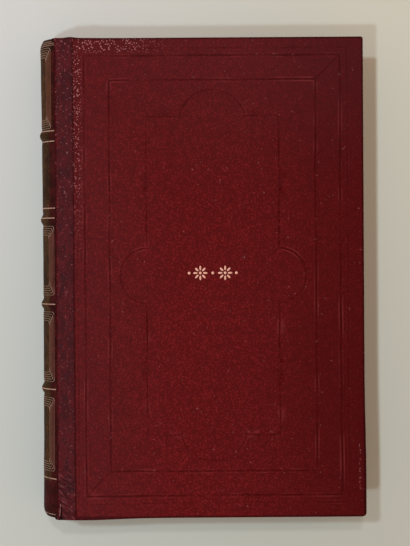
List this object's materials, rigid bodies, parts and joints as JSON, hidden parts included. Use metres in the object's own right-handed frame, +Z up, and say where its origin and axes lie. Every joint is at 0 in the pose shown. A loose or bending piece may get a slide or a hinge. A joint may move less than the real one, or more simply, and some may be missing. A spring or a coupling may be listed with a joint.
{
  "type": "antique leather book",
  "caption": "Half-leather octavo with a rounded spine, raised bands, gilt fillets and blind-stamped red cloth covers that open.",
  "frame": {"origin": "centre of the back cover's footprint, on the surface that the book lies on", "axes": "+X from spine to fore-edge, +Y from tail to head, +Z up through the front cover"},
  "size_m": [0.155, 0.228, 0.0382],
  "materials": {
    "red_cloth": "embossed pebble grain, slightly glazed",
    "maroon_leather": "crushed grain, satin",
    "spine_leather": "sun-faded brown, gilt tooled, satin",
    "millboard": "rough grey-brown board",
    "endpaper": "matt, aged cream",
    "leaves": "matt, toned edges",
    "cord": "hemp cord, matt",
    "endband_thread": "worked thread, matt",
    "lining": "glued mull and paper, matt",
    "tube_paper": "brown kraft paper, matt",
    "band_leather": "skived strips, matt"
  },
  "bodies": {
    "text_block": {"text_block": "leaves", "front_flyleaf": "endpaper", "back_flyleaf": "endpaper", "sewing_cord_1": "cord", "sewing_cord_2": "cord", "sewing_cord_3": "cord", "sewing_cord_4": "cord", "sewing_cord_5": "cord", "head_endband": "endband_thread", "tail_endband": "endband_thread", "spine_lining": "lining", "spine_tube": "tube_paper", "raised_band_1": "band_leather", "raised_band_2": "band_leather", "raised_band_3": "band_leather", "raised_band_4": "band_leather", "spine_leather": "spine_leather"},
    "front_cover": {"front_board": "millboard", "front_cloth": "red_cloth", "front_joint_leather": "maroon_leather", "front_pastedown": "endpaper"},
    "back_cover": {"back_board": "millboard", "back_cloth": "red_cloth", "back_joint_leather": "maroon_leather", "back_pastedown": "endpaper"}
  },
  "joints": [
    {"name": "front_cover_hinge", "type": "hinge", "parent": "text_block", "child": "front_cover", "pos_m": [-0.06903, 0, 0.0382], "axis": [0, -1, 0], "range_deg": [0, 175]},
    {"name": "back_cover_hinge", "type": "hinge", "parent": "text_block", "child": "back_cover", "pos_m": [-0.06903, 0, 0], "axis": [0, 1, 0], "range_deg": [0, 175]}
  ]
}
